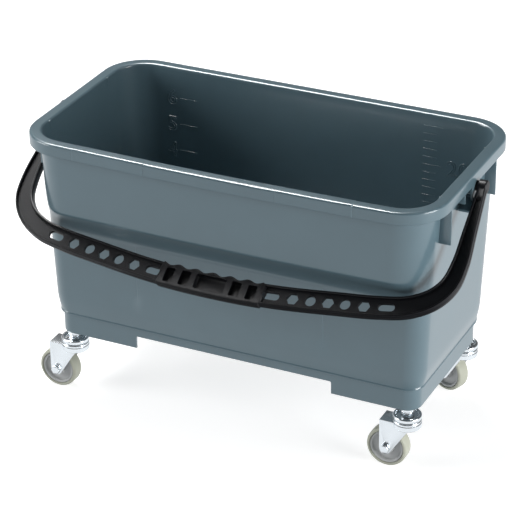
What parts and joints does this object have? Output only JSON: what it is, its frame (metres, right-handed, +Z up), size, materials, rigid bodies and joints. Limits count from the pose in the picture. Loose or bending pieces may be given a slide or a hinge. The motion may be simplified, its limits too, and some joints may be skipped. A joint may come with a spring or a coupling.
{
  "type": "wheeled rectangular bucket with bail handle",
  "caption": "Deep rectangular plastic bucket with a stepped front, an open base skirt, a hinged bail handle with a finger grip, and swivel castors for rolling it when full.",
  "frame": {"origin": "on the floor, under the middle of the overall box", "axes": "+X along the bucket's length, +Y from the front, where the bail hangs, to the back, +Z up"},
  "size_m": [0.5668, 0.303, 0.3515],
  "materials": {
    "bucket": "grey-blue injection-moulded polypropylene with a satin grain",
    "handle": "black moulded polypropylene, satin",
    "zinc": "pressed steel with bright bluish zinc plating",
    "hub": "mid-grey moulded wheel centre",
    "tread": "pale beige-grey rubber tread"
  },
  "bodies": {
    "bucket": {"bucket_shell": "bucket", "insert_front_left": "zinc", "stem_front_left": "zinc", "top_cup_front_left": "zinc", "insert_front_right": "zinc", "stem_front_right": "zinc", "top_cup_front_right": "zinc", "insert_back_left": "zinc", "stem_back_left": "zinc", "top_cup_back_left": "zinc", "insert_back_right": "zinc", "stem_back_right": "zinc", "top_cup_back_right": "zinc"},
    "bail": {"bail": "handle"},
    "fork_front_left": {"fork_front_left": "zinc", "axle_bolt_front_left": "zinc", "axle_nut_front_left": "zinc", "axle_sleeve_front_left": "zinc"},
    "wheel_front_left": {"wheel_hub_front_left": "hub", "wheel_tyre_front_left": "tread"},
    "fork_front_right": {"fork_front_right": "zinc", "axle_bolt_front_right": "zinc", "axle_nut_front_right": "zinc", "axle_sleeve_front_right": "zinc"},
    "wheel_front_right": {"wheel_hub_front_right": "hub", "wheel_tyre_front_right": "tread"},
    "fork_back_left": {"fork_back_left": "zinc", "axle_bolt_back_left": "zinc", "axle_nut_back_left": "zinc", "axle_sleeve_back_left": "zinc"},
    "wheel_back_left": {"wheel_hub_back_left": "hub", "wheel_tyre_back_left": "tread"},
    "fork_back_right": {"fork_back_right": "zinc", "axle_bolt_back_right": "zinc", "axle_nut_back_right": "zinc", "axle_sleeve_back_right": "zinc"},
    "wheel_back_right": {"wheel_hub_back_right": "hub", "wheel_tyre_back_right": "tread"}
  },
  "joints": [
    {"name": "bail_hinge", "type": "hinge", "parent": "bucket", "child": "bail", "pos_m": [0, 0.01347, 0.3325], "axis": [-1, 0, 0], "range_deg": [0, 252]},
    {"name": "swivel_front_left", "type": "hinge", "parent": "bucket", "child": "fork_front_left", "pos_m": [-0.219, -0.07503, 0.0605], "axis": [0, 0, 1], "continuous": true},
    {"name": "spin_front_left", "type": "hinge", "parent": "fork_front_left", "child": "wheel_front_left", "pos_m": [-0.2415, -0.07503, 0.025], "axis": [0, 1, 0], "continuous": true},
    {"name": "swivel_front_right", "type": "hinge", "parent": "bucket", "child": "fork_front_right", "pos_m": [0.219, -0.07503, 0.0605], "axis": [0, 0, 1], "continuous": true},
    {"name": "spin_front_right", "type": "hinge", "parent": "fork_front_right", "child": "wheel_front_right", "pos_m": [0.1965, -0.07503, 0.025], "axis": [0, 1, 0], "continuous": true},
    {"name": "swivel_back_left", "type": "hinge", "parent": "bucket", "child": "fork_back_left", "pos_m": [-0.219, 0.10647, 0.0605], "axis": [0, 0, 1], "continuous": true},
    {"name": "spin_back_left", "type": "hinge", "parent": "fork_back_left", "child": "wheel_back_left", "pos_m": [-0.24101, 0.10179, 0.025], "axis": [-0.2079, 0.9781, 0], "continuous": true},
    {"name": "swivel_back_right", "type": "hinge", "parent": "bucket", "child": "fork_back_right", "pos_m": [0.219, 0.10647, 0.0605], "axis": [0, 0, 1], "continuous": true},
    {"name": "spin_back_right", "type": "hinge", "parent": "fork_back_right", "child": "wheel_back_right", "pos_m": [0.19786, 0.11417, 0.025], "axis": [0.342, 0.9397, 0], "continuous": true}
  ]
}
